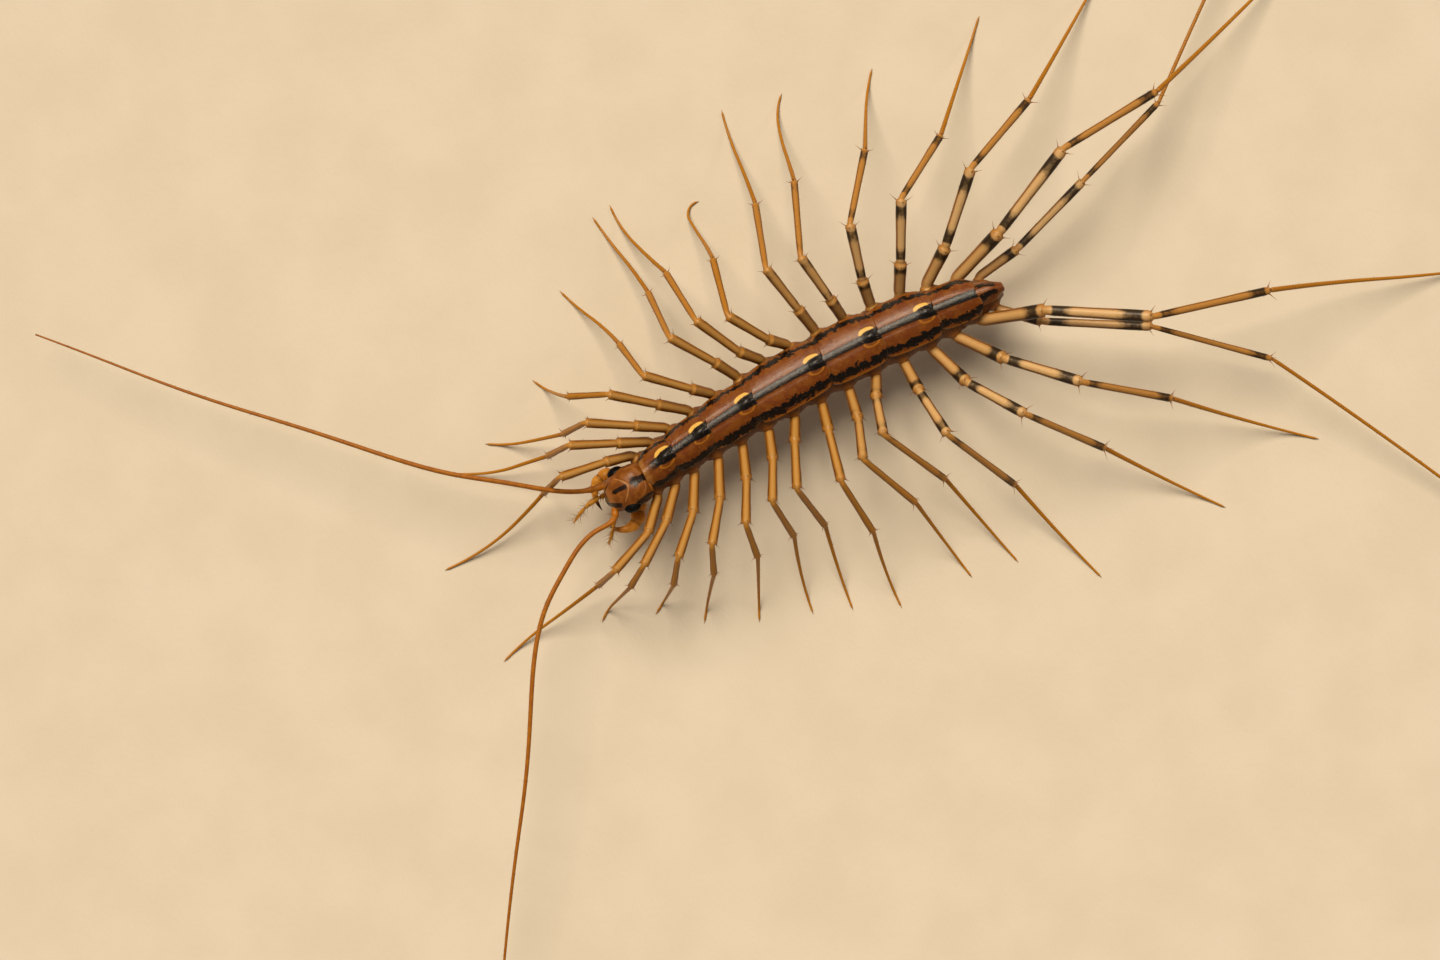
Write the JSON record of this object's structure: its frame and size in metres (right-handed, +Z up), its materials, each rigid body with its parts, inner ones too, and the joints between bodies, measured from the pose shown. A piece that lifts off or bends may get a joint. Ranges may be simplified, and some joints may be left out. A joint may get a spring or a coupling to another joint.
{
  "type": "house centipede",
  "caption": "Still life-size house centipede standing on its leg tips: striped back plates, banded spread legs, long feelers ahead and very long last legs trailing behind.",
  "frame": {"origin": "middle of the whole outline seen from above, at floor level, where the leg tips rest", "axes": "+Z up, the head toward -Y and the last legs toward +Y, the animal's left side toward +X"},
  "size_m": [0.0706, 0.1018, 0.0087],
  "materials": {
    "shell": "satin chitin",
    "head": "glossy chitin",
    "eye": "glossy, finely faceted",
    "venom_claw": "glossy chitin",
    "palp": "satin chitin",
    "antenna": "satin, finely ringed",
    "leg": "satin translucent chitin"
  },
  "bodies": {
    "root": {"antenna_left_base": "antenna", "antenna_left_whip": "antenna", "antenna_right_base": "antenna", "antenna_right_whip": "antenna", "eye_left": "eye", "eye_right": "eye", "forcipule_left": "venom_claw", "forcipule_right": "venom_claw", "head": "head", "leg_left_1": "leg", "leg_left_10": "leg", "leg_left_11": "leg", "leg_left_12": "leg", "leg_left_13": "leg", "leg_left_14": "leg", "leg_left_14_tarsus": "leg", "leg_left_15": "leg", "leg_left_15_tarsus": "leg", "leg_left_2": "leg", "leg_left_3": "leg", "leg_left_4": "leg", "leg_left_5": "leg", "leg_left_6": "leg", "leg_left_7": "leg", "leg_left_8": "leg", "leg_left_9": "leg", "leg_right_1": "leg", "leg_right_10": "leg", "leg_right_11": "leg", "leg_right_12": "leg", "leg_right_13": "leg", "leg_right_14": "leg", "leg_right_14_tarsus": "leg", "leg_right_15": "leg", "leg_right_15_tarsus": "leg", "leg_right_2": "leg", "leg_right_3": "leg", "leg_right_4": "leg", "leg_right_5": "leg", "leg_right_6": "leg", "leg_right_7": "leg", "leg_right_8": "leg", "leg_right_9": "leg", "palp_left": "palp", "palp_right": "palp", "telson": "shell", "trunk_1": "shell", "trunk_2": "shell", "trunk_3": "shell", "trunk_4": "shell", "trunk_5": "shell", "trunk_6": "shell", "trunk_7": "shell"}
  },
  "joints": []
}
